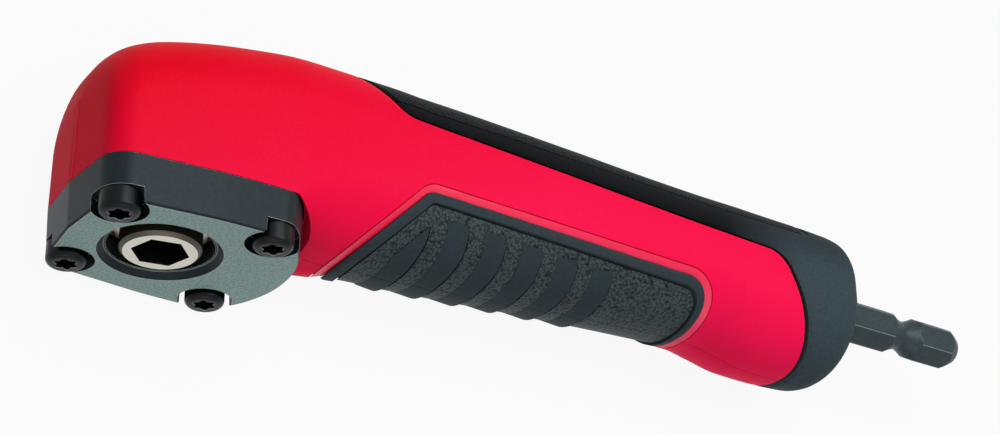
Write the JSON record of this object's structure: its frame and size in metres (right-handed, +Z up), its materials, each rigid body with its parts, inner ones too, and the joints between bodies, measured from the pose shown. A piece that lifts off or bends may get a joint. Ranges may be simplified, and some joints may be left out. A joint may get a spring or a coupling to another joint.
{
  "type": "right angle attachment",
  "caption": "Right angle drive attachment: hex shank and handle with rubber grips, bevel gears in the head, and a hex bit socket at 90 degrees to the shank.",
  "frame": {"origin": "the middle of the hex shank's end face, on the shaft's axis; the spindle's axis crosses it 141 mm towards -X", "axes": "+X along the shaft, out of the shank's end; +Y along the spindle, away from the socket's mouth; +Z up through the near flank: the tool lies on its far flank"},
  "size_m": [0.1543, 0.0338, 0.0262],
  "materials": {
    "red_nylon": "moulded glass-filled nylon, fine matte grain",
    "rubber": "moulded charcoal rubber, pebbled field",
    "plate_steel": "grey phosphate coat with worn bright edges",
    "black_oxide": "black oxide",
    "bright_steel": "ground steel",
    "dark_steel": "dark hardened steel",
    "die_cast": "die-cast, as cast",
    "bronze": "sintered bronze",
    "magnet": "nickel plate"
  },
  "bodies": {
    "housing": {"housing_near_half": "red_nylon", "housing_far_half": "red_nylon", "back_grip_near": "rubber", "back_grip_far": "rubber", "grip_pad_near": "rubber", "grip_pad_far": "rubber", "cover_plate": "plate_steel", "gear_case": "die_cast", "cover_screw_front_near": "black_oxide", "cover_screw_front_far": "black_oxide", "cover_screw_rear_near": "black_oxide", "cover_screw_rear_far": "black_oxide", "housing_screw_head": "black_oxide", "housing_screw_neck": "black_oxide", "housing_screw_rear": "black_oxide", "output_outer_race": "bright_steel", "input_outer_race": "bright_steel", "bearing_circlip": "dark_steel", "upper_bush": "bronze", "rear_bush": "bronze"},
    "input": {"input_shaft": "dark_steel", "input_pinion": "bright_steel", "input_inner_race": "bright_steel", "pinion_shim": "dark_steel", "shaft_circlip": "dark_steel"},
    "output": {"output_spindle": "bright_steel", "socket_magnet": "magnet", "output_gear": "bright_steel", "output_inner_race": "bright_steel", "output_spacer": "dark_steel"},
    "input_cage": {"input_ball_cage": "bronze"},
    "output_cage": {"output_ball_cage": "bronze"}
  },
  "joints": [
    {"name": "input_spin", "type": "hinge", "parent": "housing", "child": "input", "pos_m": [-0.141, 0, 0], "axis": [1, 0, 0], "continuous": true},
    {"name": "output_spin", "type": "hinge", "parent": "housing", "child": "output", "pos_m": [-0.141, 0, 0], "axis": [0, 1, 0], "continuous": true},
    {"name": "input_cage_spin", "type": "hinge", "parent": "housing", "child": "input_cage", "pos_m": [-0.141, 0, 0], "axis": [1, 0, 0], "continuous": true},
    {"name": "output_cage_spin", "type": "hinge", "parent": "housing", "child": "output_cage", "pos_m": [-0.141, 0, 0], "axis": [0, 1, 0], "continuous": true}
  ],
  "couplings": [
    {"joint": "output_spin", "follows": "input_spin", "ratio": 1},
    {"joint": "input_cage_spin", "follows": "input_spin", "ratio": 0.4},
    {"joint": "output_cage_spin", "follows": "input_spin", "ratio": 0.4069}
  ]
}
